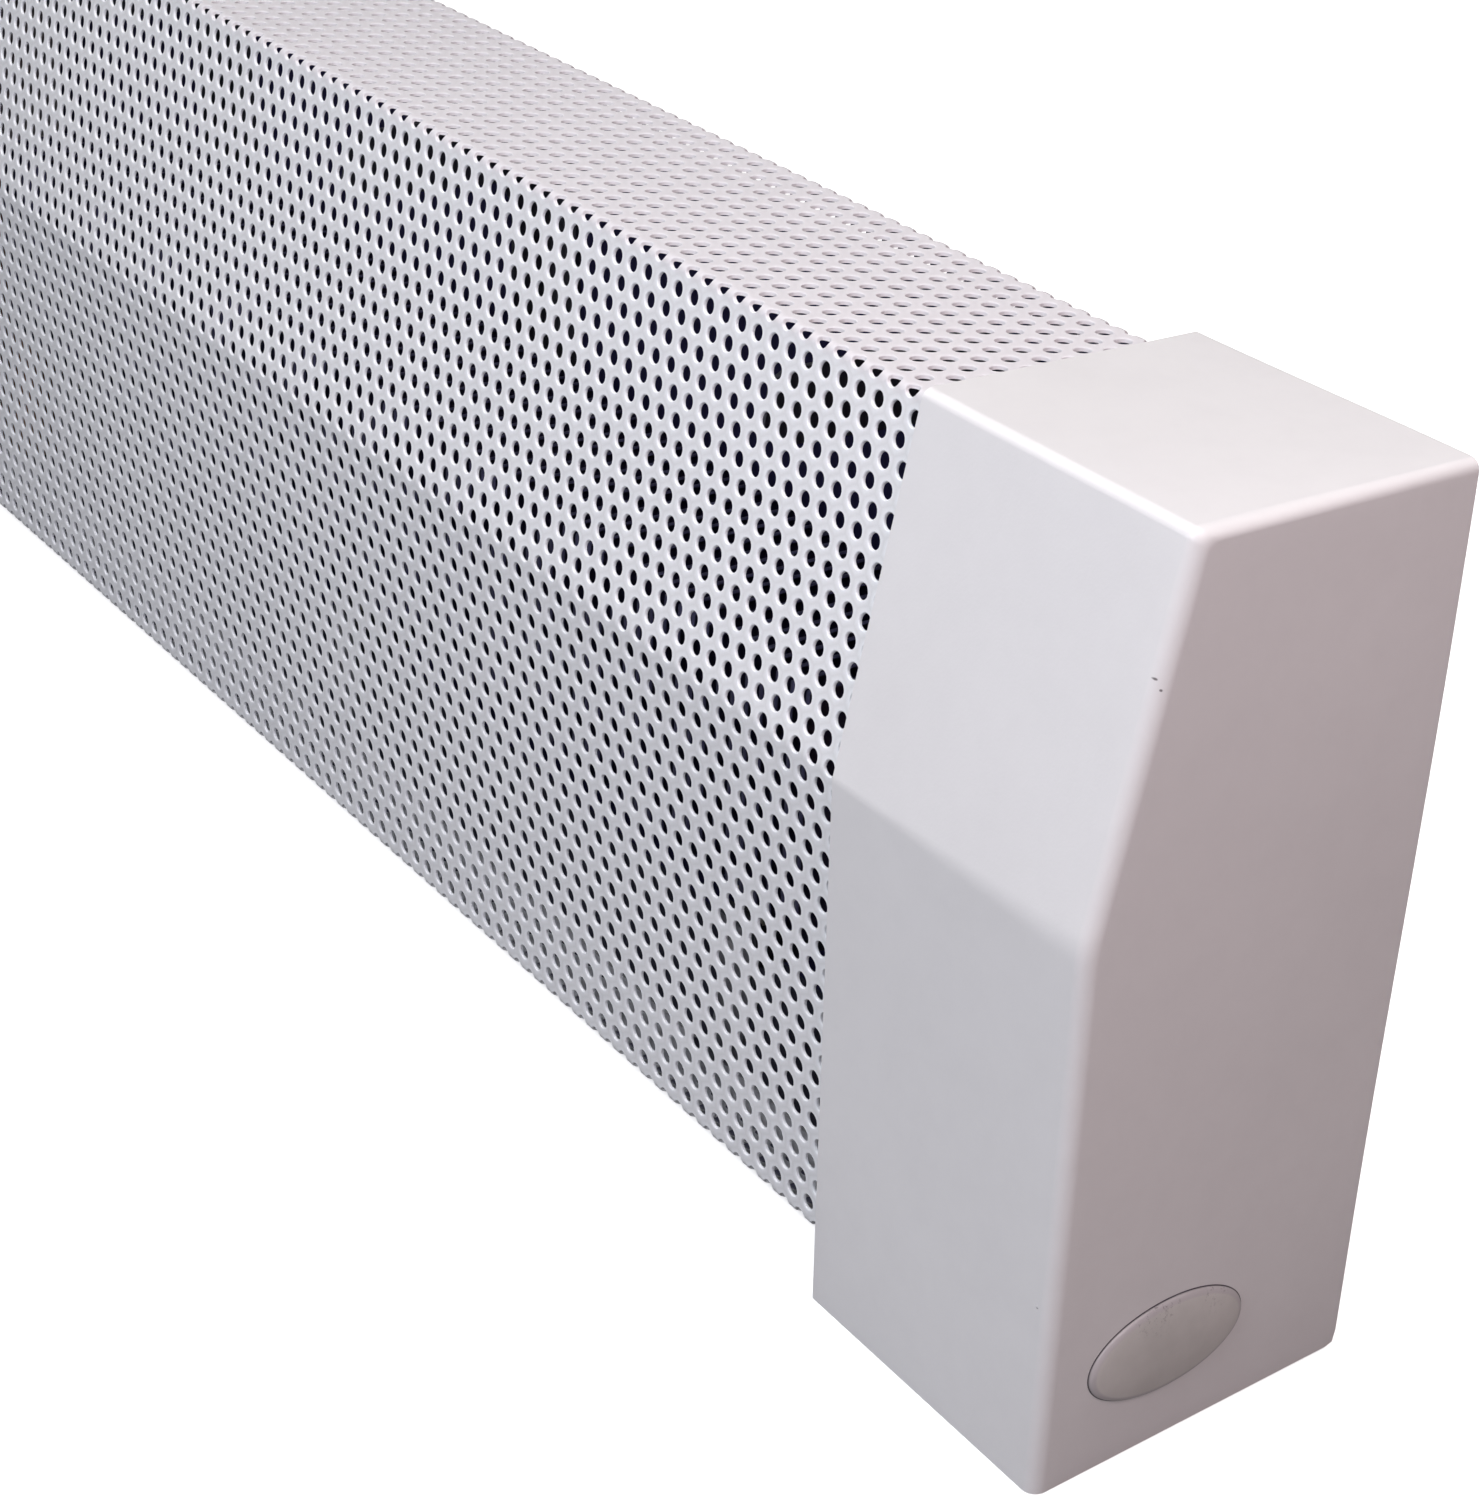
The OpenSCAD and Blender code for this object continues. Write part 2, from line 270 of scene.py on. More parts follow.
def powder_coat():
    """White coat on the panel: faint orange peel, a painted highlight on the rims round the holes,
    painted shade on the flat top and on the inside.
    """
    mat = Mat("powder_coat")
    cloud = mat.noise(scale=14, detail=4, rough=0.6)
    fine = mat.noise(scale=260, detail=3, rough=0.6)
    mat.colour(mat.ramp(cloud, (0.715, 0.720, 0.735), (0.770, 0.772, 0.782)))
    mat.paint(mat.span(fine, (0.35, 0.75), to=(0.0, 0.35)), (0.80, 0.80, 0.815))
    dust = mat.noise(scale=48, detail=5, rough=0.7)
    mat.paint(mat.span(dust, (0.62, 0.80), to=(0.0, 0.18)), (0.60, 0.58, 0.58))
    # painted highlight: the rims and walls of the holes are painted near white
    mat.paint(mat.attribute("rim"), (0.95, 0.96, 1.0), amount=0.95)
    # painted shade: the flat top is painted greyer, which holds down its brightness under the lamps
    # above
    flat_top_shade = mat.span(mat.axes()[2], ((HEIGHT - 4.4) * MM, (HEIGHT - 2.4) * MM))
    mat.paint(flat_top_shade, (0.608, 0.582, 0.606), amount=0.78)
    inside = mat.attribute("inside")
    # painted shade: the inside of the sheet and the inner edge of the holes' walls are painted dark
    # navy
    mat.paint(inside, mat.ramp(cloud, (0.017, 0.015, 0.052), (0.030, 0.027, 0.080)))
    gloss = mat.noise(scale=60, detail=4, rough=0.6)
    gloss = mat.span(gloss, (0.3, 0.7), to=(0.34, 0.48))
    mat.put("Roughness", mat.math("ADD", gloss, mat.times(flat_top_shade, 0.24)))
    # the clear gloss is missing where the inside is painted dark, and nearly so on the flat top
    mat.put("Coat Weight", mat.times(mat.span(inside, (0, 1), to=(0.6, 0.0)),
                                     mat.span(flat_top_shade, (0, 1), to=(1.0, 0.1))))
    mat.put("Coat Roughness", 0.15)
    mat.bump(mat.noise(scale=900), strength=0.10, distance=0.0004)
    mat.bump(mat.noise(scale=120), strength=0.06, distance=0.0008)
    return mat.material


# blemishes on the right cap: (x, y, z) and radius in mm; no x means anywhere past EDGE_X
PITS = [
    ((340.3, -56.7, 214.5), 0.26), ((349.9, -35.1, 193.3), 0.24),
    ((None, -76.2, 186.9), 0.33), ((None, -75.6, 184.9), 0.33),
]
# a raised nib painted near white as a glint: (x, y, z) and radius in mm
NIB_GLINT = ((345.9, -89.0, 47.1), 0.42)
EDGE_X = (0.3430, 0.3431)          # metres, a sharp step


def blemish(mat, axes, centre, radius):
    """1 inside a blemish."""
    total = None
    for axis, middle in zip(axes, centre):
        if middle is None:
            continue
        offset = mat.math("SUBTRACT", axis, middle * MM)
        square = mat.times(offset, offset)
        total = square if total is None else mat.math("ADD", total, square)
    hit = mat.span(mat.math("SQRT", total), (radius * 0.5 * MM, radius * MM), to=(1.0, 0.0))
    if centre[0] is None:
        hit = mat.times(hit, mat.span(axes[0], EDGE_X))
    return hit


def moulded_white():
    """Satin white caps under a thin gloss skin: fine grain, glossier rubbed edges that also carry a
    painted highlight, dark pits, a raised nib painted bright as a glint.
    """
    mat = Mat("moulded_white")
    cloud = mat.noise(scale=9, detail=4, rough=0.55)
    mat.colour(mat.ramp(cloud, (0.775, 0.765, 0.770), (0.815, 0.807, 0.812)))
    mottle = mat.noise(scale=110, detail=4, rough=0.65)
    mat.paint(mat.span(mottle, (0.40, 0.72), to=(0.0, 0.18)), (0.70, 0.69, 0.70))
    edge = mat.edges((0.505, 0.56))
    patches = mat.noise(scale=70, detail=5, rough=0.7)
    rubbed_edge_highlight = mat.times(edge, mat.span(patches, (0.42, 0.66), to=(0.15, 1.0)))
    # painted highlight: convex edges are painted lighter in patches; the same mask makes them
    # glossier
    mat.paint(rubbed_edge_highlight, (0.88, 0.88, 0.89), amount=0.12)
    axes = mat.axes()
    pit = blemish(mat, axes, *PITS[0])
    for place in PITS[1:]:
        pit = mat.math("MAXIMUM", pit, blemish(mat, axes, *place))
    mat.paint(pit, (0.10, 0.085, 0.09), amount=0.85)
    nib_glint = blemish(mat, axes, *NIB_GLINT)
    # painted glint: the nib is painted near white
    mat.paint(nib_glint, (0.95, 0.95, 0.97), amount=0.9)
    rough = mat.noise(scale=45, detail=4, rough=0.6)
    rough = mat.span(rough, (0.3, 0.7), to=(0.36, 0.46))
    mat.put("Roughness", mat.mix(rubbed_edge_highlight, rough, (0.30, 0.30, 0.30)))
    mat.put("IOR", 1.46)
    mat.put("Coat Weight", 0.75)
    mat.put("Coat Roughness", 0.11)
    mat.bump(mat.noise(scale=1400), strength=0.08, distance=0.0003)
    mat.bump(mat.noise(scale=55, detail=3), strength=0.04, distance=0.0010)
    mat.bump(pit, strength=-0.6, distance=0.0004)
    mat.bump(nib_glint, strength=0.8, distance=0.0005)
    return mat.material


def badge_silver():
    """Pale silver under a clear skin, with a painted shadow line round the foot, a painted reflection
    band on the dome's side and scuffs near the top.
    """
    mat = Mat("badge_silver")
    cloud = mat.noise(scale=60, detail=4, rough=0.6)
    mat.colour(mat.ramp(cloud, (0.60, 0.585, 0.56), (0.70, 0.68, 0.655)))
    # painted reflection: a pale lilac band down the dome's side
    mat.paint(mat.attribute("band"), (0.50, 0.46, 0.50), amount=0.55)
    # painted shadow: a dark line round the badge's foot
    mat.paint(mat.attribute("foot_shadow"), (0.055, 0.045, 0.06))
    scuff = mat.noise(scale=900, detail=5, rough=0.8)
    patches = mat.span(mat.noise(scale=75), (0.50, 0.60))
    top = mat.attribute("top")
    marks = mat.times(mat.times(mat.span(scuff, (0.56, 0.62)), patches), top)
    mat.paint(marks, (0.20, 0.175, 0.19), amount=0.7)
    mat.put("Metallic", 0.12)
    mat.put("Roughness", mat.span(scuff, (0.3, 0.8), to=(0.32, 0.50)))
    mat.put("Coat Weight", 0.7)
    mat.put("Coat Roughness", 0.10)
    mat.bump(mat.noise(scale=700), strength=0.06, distance=0.0003)
    mat.bump(marks, strength=-0.3, distance=0.0003)
    return mat.material


def wall_plate_navy_shade():
    """Painted shade: dark navy on the wall plate, so that the view through the holes reads dark; long
    pale scratches and paler edges.
    """
    mat = Mat("wall_plate_navy_shade")
    light = (0.024, 0.021, 0.074)
    # painted shade: dark navy base colour
    mat.colour(mat.ramp(mat.noise(scale=11, detail=5, rough=0.6), (0.013, 0.011, 0.046), light))
    scratch = mat.noise(scale=90, detail=3, rough=0.6, vector=mat.stretched((0.15, 1.0, 3.0)))
    mat.paint(mat.span(scratch, (0.64, 0.72), to=(0.0, 0.35)), scaled(light, 1.7))
    mat.paint(mat.edges((0.52, 0.60), most=0.6), scaled(light, 1.5))
    mat.put("Specular IOR Level", 0.3)
    gloss = mat.noise(scale=40, detail=4, rough=0.6)
    mat.put("Roughness", mat.span(gloss, (0.3, 0.7), to=(0.55, 0.70)))
    mat.bump(mat.noise(scale=800), strength=0.12, distance=0.0003)
    mat.bump(scratch, strength=0.05, distance=0.0004)
    return mat.material


def metal(name, dark, light, metallic=0.9, grain=(1.0, 1.0, 1.0), rough=(0.30, 0.48)):
    """Plated or bare metal: crystalline patches, drawn lines, brighter edges, dull clouds."""
    mat = Mat(name)
    spangle = mat.node("TexVoronoi", {"Scale": 190, "Vector": mat.place}).outputs["Distance"]
    cloud = mat.noise(scale=30, detail=5, rough=0.6)
    pattern = mat.math("ADD", mat.times(spangle, 0.6), mat.times(cloud, 0.6))
    mat.colour(mat.ramp(pattern, dark, light, ends=(0.25, 0.75)))
    mat.paint(mat.edges((0.51, 0.58), most=0.6), scaled(light, 1.25))
    dull = mat.noise(scale=16, detail=6, rough=0.7)
    mat.paint(mat.span(dull, (0.60, 0.78), to=(0.0, 0.4)), scaled(dark, 0.55))
    mat.put("Metallic", metallic)
    lines = mat.noise(scale=700, vector=mat.stretched(grain))
    worn = mat.math("ADD", mat.times(lines, 0.6), mat.times(dull, 0.4))
    mat.put("Roughness", mat.span(worn, (0.3, 0.7), to=rough))
    mat.bump(lines, strength=0.06, distance=0.0003)
    return mat.material


def drawn_copper():
    """Warm drawn copper with brown tarnish patches."""
    mat = Mat("drawn_copper")
    cloud = mat.noise(scale=22, detail=5, rough=0.65)
    mat.colour(mat.ramp(cloud, (0.33, 0.150, 0.092), (0.62, 0.33, 0.215), ends=(0.28, 0.72)))
    tarnish = mat.noise(scale=55, detail=6, rough=0.75)
    mat.paint(mat.span(tarnish, (0.54, 0.72), to=(0.0, 0.65)), (0.21, 0.095, 0.06))
    mat.paint(mat.edges((0.51, 0.58), most=0.5), (0.92, 0.58, 0.42))
    mat.put("Metallic", 0.95)
    mat.put("Roughness", mat.span(tarnish, (0.3, 0.75), to=(0.22, 0.52)))
    lines = mat.noise(scale=500, vector=mat.stretched((0.05, 1.0, 1.0)))
    mat.bump(lines, strength=0.07, distance=0.0003)
    return mat.material


def plastic(name, dark, light, rough=(0.45, 0.6), subsurface=0.0):
    """Plain plastic or rubber with patches of grime."""
    mat = Mat(name)
    mat.colour(mat.ramp(mat.noise(scale=30, detail=4, rough=0.6), dark, light))
    grime = mat.noise(scale=80, detail=5, rough=0.7)
    mat.paint(mat.span(grime, (0.58, 0.75), to=(0.0, 0.35)), scaled(dark, 0.6))
    mat.put("Roughness", mat.span(grime, (0.3, 0.7), to=rough))
    mat.put("Subsurface Weight", subsurface)
    mat.bump(mat.noise(scale=900), strength=0.15, distance=0.0003)
    return mat.material


MATS = {
    "cover_paint": powder_coat(),
    "cap_plastic": moulded_white(),
    "badge_metal": badge_silver(),
    "plate_paint": wall_plate_navy_shade(),
    # painted shade: the brackets inside are coloured dark bluish grey so that what shows through the
    # holes reads as shade
    "bracket_steel": metal("zinc_bracket", (0.070, 0.072, 0.090), (0.130, 0.133, 0.155),
                           metallic=0.80, grain=(1.0, 1.0, 0.06), rough=(0.42, 0.58)),
    "clip_steel": metal("spring_steel", (0.17, 0.18, 0.20), (0.33, 0.34, 0.37),
                        grain=(1.0, 1.0, 0.06)),
    "glide_plastic": plastic("nylon_glide", (0.52, 0.49, 0.42), (0.66, 0.63, 0.55),
                             subsurface=0.05),
    "rivet_aluminium": metal("rivet_metal", (0.50, 0.50, 0.52), (0.72, 0.72, 0.74),
                             metallic=0.95),
    "copper": drawn_copper(),
    # painted shade: the fins are coloured dark navy so that what shows through the holes reads as
    # shade
    "fin_aluminium": metal("fin_metal", (0.062, 0.060, 0.132), (0.108, 0.105, 0.200),
                           metallic=0.50, grain=(1.0, 1.0, 0.05), rough=(0.36, 0.52)),
    "vent_brass": metal("turned_brass", (0.52, 0.36, 0.13), (0.78, 0.60, 0.28),
                        metallic=0.95, grain=(1.0, 1.0, 5.0), rough=(0.22, 0.38)),
    "washer_rubber": plastic("washer_rubber", (0.020, 0.020, 0.022), (0.045, 0.045, 0.048),
                             rough=(0.6, 0.8)),
}


# --------------------------------------------------------------------------- #
# objects and meshes
# --------------------------------------------------------------------------- #
def link_object(name, data):
    obj = bpy.data.objects.new(name, data)
    bpy.context.scene.collection.objects.link(obj)
    return obj


def new_part(name, mesh, body, node, slot):
    """An object that rides on a body, stands in for a CAD node and wears a slot's material."""
    obj = link_object(name, mesh)
    mesh.materials.append(MATS[slot])
    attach(obj, body)
    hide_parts(node)
    return obj


def finished_mesh(draft, name):
    mesh = bpy.data.meshes.new(name)
    draft.to_mesh(mesh)
    draft.free()
    return mesh


def join_rings(draft, rings):
    """Faces between each closed ring of vertices and the next."""
    for here, there in zip(rings, rings[1:]):
        for k in range(len(here)):
            after = (k + 1) % len(here)
            draft.faces.new([here[k], here[after], there[after], there[k]])


# --------------------------------------------------------------------------- #
# the perforated, folded front panel, made of hexagonal cells with a hole in each
# --------------------------------------------------------------------------- #
PITCH = 6.35
ROW = PITCH * math.sin(math.radians(60))
HOLE_R = 1.81                      # clear radius once coated
RIM = 0.36                         # rounded rim of the coating
MARGIN = HOLE_R + RIM + 0.55       # least distance from a hole's centre to the sheet's edge
RING_COUNT = 18                    # points round a cell
FIRST_X = 231.5                    # a hole of row 0 stands here
PIECE_COUNT = 5
SHEET = 0.8                        # bare sheet of the front
SHEET_TOP = 1.03                   # with the coat that pools on the flat top
HOOK_DROP, FLANGE, LIP = 12.1, 17.8, 4     # rear hook, bottom flange and its upturned lip
INSIDE_SHADE_FADE = 26.0                   # the painted shade inside fades out this far before the sheet's end
HALF_PANEL = panel_hi[0]
PANEL_TOP = HEIGHT - SKIN
PANEL_FRONT = -DEPTH + SKIN
PANEL_FOOT = panel_lo[2]
HOOK_Y = panel_hi[1]

panel = Profile([
    # y, z, bend radius
    (HOOK_Y, PANEL_TOP - HOOK_DROP, 0),
    (HOOK_Y, PANEL_TOP, 1.8),
    (slope_y(SKIN, PANEL_TOP), PANEL_TOP, 1.8),
    (PANEL_FRONT, bend_z(SKIN), 2.6),
    (PANEL_FRONT, PANEL_FOOT, 1.8),
    (PANEL_FRONT + FLANGE, PANEL_FOOT, 1.6),
    (PANEL_FRONT + FLANGE, PANEL_FOOT + LIP, 0),
])
RIDGE_AT = 0.5 * (panel.bends[1][0] + panel.bends[1][1])   # row -1 runs along this bend


def cell_edge():
    """Points on a cell's edge: the hexagon's corners and two points along each side."""
    angles = [math.radians(30 + 60 * k) for k in range(6)]
    corners = [np.array([math.cos(a), math.sin(a)]) * PITCH / math.sqrt(3) for a in angles]
    points = []
    for k in range(6):
        corner, following = corners[k], corners[(k + 1) % 6]
        points += [corner + (following - corner) * t / 3 for t in range(3)]
    return np.array(points)


def cell_centres(rows):
    """Centres (x, distance along the profile) of the cells with a hole and of the solid ones."""
    holes, solids = [], []
    for j in rows:
        along = RIDGE_AT + ROW * (j + 1)
        offset = FIRST_X + PITCH * j / 2
        first = math.floor((-HALF_PANEL - offset) / PITCH) - 1
        last = math.ceil((HALF_PANEL - offset) / PITCH) + 1
        for i in range(first, last + 1):
            x = offset + PITCH * i
            clear = abs(x) < HALF_PANEL - MARGIN and MARGIN < along < panel.length - MARGIN
            (holes if clear else solids).append((x, along))
    return np.array(holes).reshape(-1, 2), np.array(solids).reshape(-1, 2)


def band(inner, outer):
    """Quads between rings of vertex numbers, one row of the arrays a ring."""
    return np.stack([inner, outer, np.roll(outer, -1, 1), np.roll(inner, -1, 1)],
                    -1).reshape(-1, 4)


def unit(vectors):
    return vectors / np.maximum(np.linalg.norm(vectors, axis=1, keepdims=True), 1e-12)


def drop_slivers(triangles, flat):
    corners = flat[triangles]
    u, v = corners[:, 1] - corners[:, 0], corners[:, 2] - corners[:, 0]
    return triangles[0.5 * np.abs(u[:, 0] * v[:, 1] - v[:, 0] * u[:, 1]) > 1e-6]


def outline_walls(front, fan, flat_count):
    """Quads from front to back along every front edge that has a face on one side only."""
    edges = np.concatenate([front[:, [3, 0]], fan[:, [0, 1]], fan[:, [1, 2]], fan[:, [2, 0]]])
    edges = edges[edges[:, 0] != edges[:, 1]]
    code = edges[:, 0].astype(np.int64) * flat_count + edges[:, 1]
    reverse = edges[:, 1].astype(np.int64) * flat_count + edges[:, 0]
    lone = edges[~np.isin(code, reverse)]
    return np.stack([lone[:, 1], lone[:, 0], flat_count + lone[:, 0], flat_count + lone[:, 1]], -1)


def add_attribute(mesh, name, domain, values):
    attribute = mesh.attributes.new(name, "FLOAT", domain)
    attribute.data.foreach_set("value", values.astype(np.float32))


def panel_mesh(name, coords, groups, rim):
    """Mesh from groups of (faces, corner normals, share of painted shade)."""
    corners = np.concatenate([faces.reshape(-1) for faces, _, _ in groups])
    sizes = np.concatenate([np.full(len(faces), faces.shape[1]) for faces, _, _ in groups])
    normals = np.concatenate([normal.reshape(-1, 3) for _, normal, _ in groups])
    bare = np.concatenate([np.broadcast_to(share, faces.shape).reshape(-1)
                           for faces, _, share in groups])
    mesh = bpy.data.meshes.new(name)
    mesh.vertices.add(len(coords))
    mesh.vertices.foreach_set("co", coords.astype(np.float32).reshape(-1))
    mesh.loops.add(len(corners))
    mesh.loops.foreach_set("vertex_index", corners.astype(np.int32))
    mesh.polygons.add(len(sizes))
    mesh.polygons.foreach_set("loop_start", (np.cumsum(sizes) - sizes).astype(np.int32))
    mesh.polygons.foreach_set("loop_total", sizes.astype(np.int32))
    mesh.polygons.foreach_set("use_smooth", np.ones(len(sizes), bool))
    add_attribute(mesh, "rim", "POINT", rim)
    # painted shade: each corner's share of the dark inside colour
    add_attribute(mesh, "inside", "CORNER", bare)
    mesh.update(calc_edges=True)
    mesh.validate(verbose=False)
    mesh.normals_split_custom_set([tuple(normal) for normal in normals])
    return mesh


def build_panel_piece(name, rows):
    edge = cell_edge()
    angles = np.arctan2(edge[:, 1], edge[:, 0])
    directions = np.stack([np.cos(angles), np.sin(angles)], -1)
    holes, solids = cell_centres(rows)
    hole_count = len(holes)
    ring_size = hole_count * RING_COUNT

    # flat points of all cell edges and the solid cells' centres, held inside the sheet and merged
    flat = np.concatenate([
        (holes[:, None, :] + edge).reshape(-1, 2),
        (solids[:, None, :] + edge).reshape(-1, 2),
        solids,
    ])
    flat[:, 0] = np.clip(flat[:, 0], -HALF_PANEL, HALF_PANEL)
    flat[:, 1] = np.clip(flat[:, 1], 0.0, panel.length)
    key = np.round(flat * 1000).astype(np.int64)
    _, first, merged = np.unique(key, axis=0, return_index=True, return_inverse=True)
    merged = merged.reshape(-1)
    flat = flat[first]
    flat_count = len(flat)
    solid_end = ring_size + len(solids) * RING_COUNT
    hole_edge = merged[:ring_size].reshape(-1, RING_COUNT)
    solid_edge = merged[ring_size:solid_end].reshape(-1, RING_COUNT)
    solid_middle = merged[solid_end:]

    # vertices: front flat, back flat, then a ring on the front, the bore's front and its back
    ring_at = 2 * flat_count
    bore_at = ring_at + ring_size
    bore_back_at = bore_at + ring_size
    ring = (holes[:, None, :] + directions * (HOLE_R + RIM)).reshape(-1, 2)
    bore = (holes[:, None, :] + directions * HOLE_R).reshape(-1, 2)
    sheet = np.concatenate([flat, flat, ring, bore, bore])
    along = sheet[:, 1]
    thick = SHEET_TOP + (SHEET - SHEET_TOP) * smoothstep((along - RIDGE_AT + 1.0) / 6.0)
    counts = [flat_count, flat_count, ring_size, ring_size, ring_size]
    depth = np.repeat([0, 1, 0, 0, 1], counts) * thick + np.repeat([0, 0, 0, RIM, 0], counts)
    place, normal, tangent = panel.at(along, depth)
    coords = np.column_stack([sheet[:, 0], place]) * MM
    outward = np.column_stack([np.zeros(len(along)), normal])
    tangent = np.column_stack([np.zeros(len(along)), tangent])

    # normals follow the true surface, so bends and rims read as round; the coat thins towards
    # the inner edge, which rounds the bore's wall a little
    spokes = np.tile(directions, (hole_count, 1))
    bore_out = outward[bore_at:bore_back_at]
    inward = -(spokes[:, :1] * np.array([[1.0, 0, 0]])
               + spokes[:, 1:] * tangent[bore_at:bore_back_at])
    facing = outward.copy()
    facing[bore_at:bore_back_at] = unit(0.86 * inward + 0.14 * bore_out)
    wall_facing = facing.copy()
    wall_facing[bore_back_at:] = unit(0.80 * inward + 0.20 * bore_out)

    numbers = np.arange(ring_size).reshape(-1, RING_COUNT)
    front = band(hole_edge, ring_at + numbers)
    bevel = band(ring_at + numbers, bore_at + numbers)
    wall = band(bore_at + numbers, bore_back_at + numbers)
    back = band(bore_back_at + numbers, flat_count + hole_edge)
    middle = np.repeat(solid_middle[:, None], RING_COUNT, 1)
    fan = np.stack([solid_edge, middle, np.roll(solid_edge, -1, 1)], -1).reshape(-1, 3)
    fan = drop_slivers(fan, flat)
    fan_back = flat_count + fan[:, [0, 2, 1]]
    side = outline_walls(front, fan, flat_count)
    quad = coords[side]
    side_facing = unit(np.cross(quad[:, 1] - quad[:, 0], quad[:, 2] - quad[:, 1]))

    # painted shade on the inside, little of it on the bottom flange and in the front's holes
    inside_shade = 1.0 - 0.9 * np.clip((along - (panel.length - INSIDE_SHADE_FADE)) / 6.0, 0, 1)
    in_front = np.clip((along - RIDGE_AT) / 3.0, 0, 1)
    wall_shade = np.where(wall >= bore_back_at, 0.16 * in_front[wall], 0.0) * inside_shade[wall]
    groups = [
        (front, facing[front], 0.0),
        (bevel, facing[bevel], 0.0),
        (wall, wall_facing[wall], wall_shade),
        (back, -outward[back], inside_shade[back]),
        (side, np.repeat(side_facing, 4, 0), 0.0),
        (fan, outward[fan], 0.0),
        (fan_back, -outward[fan_back], inside_shade[fan_back]),
    ]
    # rim: share of the painted highlight, none on the flat front, full on the bore
    return panel_mesh(name, coords, groups, rim=np.repeat([0, 0, 0.55, 1, 1], counts))


first_row = -2 - math.ceil(RIDGE_AT / ROW)
row_count = math.ceil((panel.length - RIDGE_AT) / ROW) + 1 - first_row
cuts = [first_row + round(k * row_count / PIECE_COUNT) for k in range(PIECE_COUNT + 1)]
for k in range(PIECE_COUNT):
    name = "perforated_panel_%d" % (k + 1)
    mesh = build_panel_piece(name, range(cuts[k], cuts[k + 1]))
    new_part(name, mesh, "cover", "cover_panel", "cover_paint")


# --------------------------------------------------------------------------- #
# the moulded end caps
# --------------------------------------------------------------------------- #
CAP_WALL = 1.2
CAP_STEPS = (14, 8, 20, 14, 24)    # along top, ridge, leaning face, bend, upright front
RIDGE_R = 2.6                      # bend between the top and the leaning face
MOUTH_BEND_R, END_BEND_R = 9.0, 30.0       # the front bend is crisp at the mouth only
TOP_EDGE_R, SIDE_EDGE_R = 2.6, 3.6         # rounding between the outline and the flat end
SIDE_STEPS, EDGE_STEPS = 14, 8
END_SHARES = (0.1, 0.2, 0.3, 0.4, 0.5, 0.6, 0.7, 0.8, 0.9, 0.975, 1.0)  # across the flat end
REAR_CORNER = 0.6                  # the lower rear corner is cut back by this


def cap_warp(y, z, w):
    """Outward shift in x of the thin moulding; w runs from 0 at the mouth to 1 at the end."""
    forward, up = -y / DEPTH, z / HEIGHT
    end = lerp(lerp(-5.0, -0.4, up), lerp(0.2, 1.3, up), forward)      # four corners
    end = end + forward * np.sin(math.pi * np.clip(up, 0, 1))          # bow of the front
    end = end + 1.8 * (1 - forward) * smoothstep((up - 0.15) / 0.70)   # rear, above the foot
    mouth = lerp(0.2, lerp(1.9, -1.3, up), forward)
    return lerp(mouth, end, w)


def cap_rise(y, z, w):
    """Lift in z: the top is crowned towards the end, and the end's rear foot is cut high."""
    backward = 1 - np.clip(-y / DEPTH, 0, 1)
    top = np.clip((z / HEIGHT - 0.80) / 0.20, 0, 1)
    foot = np.clip(1 - z / 30.0, 0, 1)
    return top * (0.55 + (0.45 + 0.35 * backward) * w) + 1.7 * foot * backward * w


def cap_outline(bend_r):
    return profile_points([
        (0, HEIGHT, 0), (slope_y(0, HEIGHT), HEIGHT, RIDGE_R), (-DEPTH, BEND_Z, bend_r),
        (-DEPTH, 0, 0),
    ], CAP_STEPS)


def cap_rings():
    """Open rings of (x, y, z) from the mouth to the end, round its edge and across the flat."""
    crisp, outer = cap_outline(MOUTH_BEND_R), cap_outline(END_BEND_R)
    top = HEIGHT - TOP_EDGE_R
    inner = profile_points([
        (0, top, 0), (slope_y(SIDE_EDGE_R, top), top, 3.2),
        (-DEPTH + SIDE_EDGE_R, bend_z(SIDE_EDGE_R), 27.0), (-DEPTH + SIDE_EDGE_R, 0, 0),
    ], CAP_STEPS)
    edge_r = np.clip(np.linalg.norm(outer - inner, axis=1), TOP_EDGE_R, SIDE_EDGE_R)
    edge_r[-1] = SIDE_EDGE_R
    rings = []
    for t in np.linspace(0, 1, SIDE_STEPS):
        yz = crisp + (outer - crisp) * t ** 1.2
        rings.append(np.column_stack([X_IN + (X_OUT - edge_r - X_IN) * t, yz]))
    for step in range(1, EDGE_STEPS + 1):
        angle = step / EDGE_STEPS * math.pi / 2
        yz = outer + (inner - outer) * (1 - math.cos(angle))
        rings.append(np.column_stack([X_OUT - edge_r + edge_r * math.sin(angle), yz]))
    # the flat end: each profile point runs across to the rear edge
    walked = np.cumsum(np.linalg.norm(np.diff(inner, axis=0), axis=1))
    walked = np.concatenate([[0], walked])
    rear = np.stack([np.zeros(len(inner)), top * (1 - walked / walked[-1])], -1)
    rear[-1] = (-REAR_CORNER, REAR_CORNER)
    for share in END_SHARES:
        yz = inner + (rear - inner) * share
        if share < 1.0:
            yz[-1, 1] = 0.0
        rings.append(np.column_stack([np.full(len(inner), X_OUT), yz]))
    return np.array(rings)


